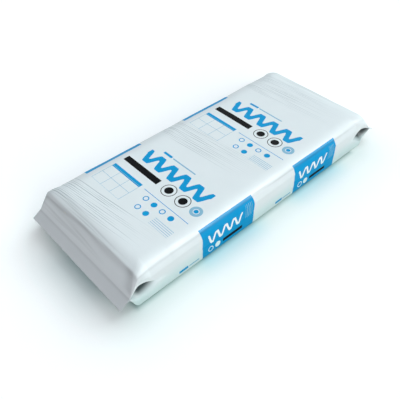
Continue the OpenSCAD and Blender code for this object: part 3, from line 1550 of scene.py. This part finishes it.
@dataclass(frozen=True)
class PaintedFloorShade:
    """Patch of painted shadow or painted bounce light on the floor: a rectangle with its middle and half
    size, and a soft rim.
    """

    middle: Span
    half: Span
    rim: float
    tone: str
    falloff: float = 2.0

    def share(self, sheet: NodeSheet, place: Socket) -> Socket:
        """Return 1 in the rectangle and less over its rim.

        Args:
            sheet: Node tree of the floor.
            place: Place on the floor.

        Returns:
            The share of the patch's tone.
        """
        away = sheet.add("VectorMath", {0: place, 1: (*self.middle, 0.0)}, operation="SUBTRACT")
        away = sheet.add("VectorMath", {0: away}, operation="ABSOLUTE")
        outside = sheet.add("VectorMath", {0: away, 1: (*self.half, 0.0)}, operation="SUBTRACT")
        outside = sheet.add("VectorMath", {0: outside, 1: (0.0, 0.0, 0.0)}, operation="MAXIMUM")
        distance = sheet.add("VectorMath", {0: outside}, out="Value", operation="LENGTH")
        near = sheet.add("MapRange", {0: distance, 1: 0.0, 2: self.rim, 3: 1.0, 4: 0.0})
        return sheet.add("Math", {0: near, 1: self.falloff}, operation="POWER")


@dataclass
class Studio:
    """Camera, pale floor and soft light."""

    # Viewpoint and direction of view
    camera_at: tuple[float, float, float] = (-1.0963, -1.0716, 1.3889)
    look: tuple[float, float, float] = (0.4834, 0.5206, -0.7038)
    lens_mm: float = 45.93
    sensor_mm: float = 36.0
    floor_reach: float = 30.0
    # Faint glow that brings the seen floor up to white
    floor_lift: float = 0.07
    # Painted shadow makes the floor greyer close to the -Y side and in front of the -X end, and painted
    # blue bounce light makes it bluer below the blue panels
    painted_floor_shades: tuple[PaintedFloorShade, ...] = (
        PaintedFloorShade((-50 * MM, -50 * MM), (570 * MM, 215 * MM), 25 * MM, "#c0cfce"),
        PaintedFloorShade((-50 * MM, -50 * MM), (570 * MM, 215 * MM), 300 * MM, "#dae5e3"),
        PaintedFloorShade((-600 * MM, -30 * MM), (60 * MM, 60 * MM), 240 * MM, "#d3dfe1"),
        PaintedFloorShade((-210 * MM, -265 * MM), (110 * MM, 0.0), 110 * MM, "#d8fbff"),
        PaintedFloorShade((270 * MM, -265 * MM), (110 * MM, 0.0), 110 * MM, "#d8fbff"),
    )
    # Tone of the light that the floor throws back on the bag
    bounce_tone: str = "#c8c6c4"
    sky_colour: str = "#faf8ff"
    sky_strength: float = 0.572
    lamps: tuple[Lamp, ...] = (
        Lamp("key", "#eaffff", (0.80, 0.08, 0.58), strength=1.82, spread=45.0, casts_shadow=True),
        Lamp("fill", "#f0f9f5", (0.0, -0.985, 0.17), strength=2.08, spread=60.0),
        Lamp("sheen", "#ffffff", (0.42, -0.51, 0.74), strength=27.0, spread=36.0, diffuse=False),
    )

    def build(self) -> None:
        """Set up everything round the bag."""
        scene = bpy.context.scene
        scene.view_settings.view_transform = "Standard"
        self.add_camera(scene)
        self.add_floor(scene)
        self.add_sky(scene)
        for lamp in self.lamps:
            lamp.hang(scene)

    def add_camera(self, scene: bpy.types.Scene) -> None:
        """Place the camera at the viewpoint.

        Args:
            scene: Scene that it belongs to.
        """
        data = bpy.data.cameras.new("camera")
        data.lens = self.lens_mm
        data.sensor_width = self.sensor_mm
        camera = bpy.data.objects.new("camera", data)
        camera.location = self.camera_at
        camera.rotation_euler = Vector(self.look).to_track_quat("-Z", "Y").to_euler()
        scene.collection.objects.link(camera)
        scene.camera = camera

    def add_floor(self, scene: bpy.types.Scene) -> None:
        """Lay the floor, which looks white away from the bag and its shadow.

        Args:
            scene: Scene that it belongs to.
        """
        bm = bmesh.new()
        bmesh.ops.create_grid(bm, x_segments=1, y_segments=1, size=self.floor_reach)
        mesh = bpy.data.meshes.new("floor")
        bm.to_mesh(mesh)
        bm.free()
        mesh.materials.append(self.floor_finish())
        floor = bpy.data.objects.new("floor", mesh)
        scene.collection.objects.link(floor)

    def floor_finish(self) -> bpy.types.Material:
        """Make the floor's material: matt white painted board, with painted shadow and painted bounce light
        round the bag.

        Returns:
            The material.
        """
        sheet = NodeSheet(bpy.data.materials.new("pale_floor"))
        place = sheet.add("TexCoord", {}, out="Object")
        seen = sheet.seen_rays()
        unseen = sheet.add("Math", {0: 1.0, 1: seen}, operation="SUBTRACT")
        tones = [(unseen, self.bounce_tone)]
        tones += [(shade.share(sheet, place), shade.tone) for shade in self.painted_floor_shades]
        colour: object = WHITE
        for share, tone in tones:
            colour = sheet.add(
                "Mix",
                {0: share, 6: colour, 7: linear(tone)},
                out=2,
                data_type="RGBA",
                blend_type="MULTIPLY",
            )
        diffuse = sheet.add("BsdfDiffuse", {"Color": colour})
        lift = sheet.add("Math", {0: seen, 1: self.floor_lift}, operation="MULTIPLY")
        glow = sheet.add("Emission", {"Color": colour, "Strength": lift})
        return sheet.finish(sheet.add("AddShader", {0: diffuse, 1: glow}))

    def add_sky(self, scene: bpy.types.Scene) -> None:
        """Give soft light from all round, and a white background.

        Args:
            scene: Scene that it belongs to.
        """
        sheet = NodeSheet(bpy.data.worlds.new("studio"))
        light = sheet.add("Background", {"Color": linear(self.sky_colour), "Strength": self.sky_strength})
        white = sheet.add("Background", {"Color": WHITE})
        scene.world = sheet.finish(sheet.add("MixShader", {0: sheet.seen_rays(), 1: light, 2: white}))


def report(piece: bpy.types.Object) -> None:
    """Log a piece's name and triangle count."""
    triangles = sum(len(face.vertices) - 2 for face in piece.data.polygons)
    LOG.info("%s: %d triangles", piece.name, triangles)


def main() -> None:
    """Build the bag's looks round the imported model."""
    logging.basicConfig(level=logging.INFO, format="%(message)s")
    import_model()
    form = BagForm.from_frame()
    Studio().build()
    film = FilmBag(form).build()
    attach(film, "root")
    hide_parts("film_bag")
    report(film)
    wool = WoolFill(form).build()
    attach(wool, "root")
    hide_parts("wool_fill")
    report(wool)


if __name__ == "__main__":
    main()
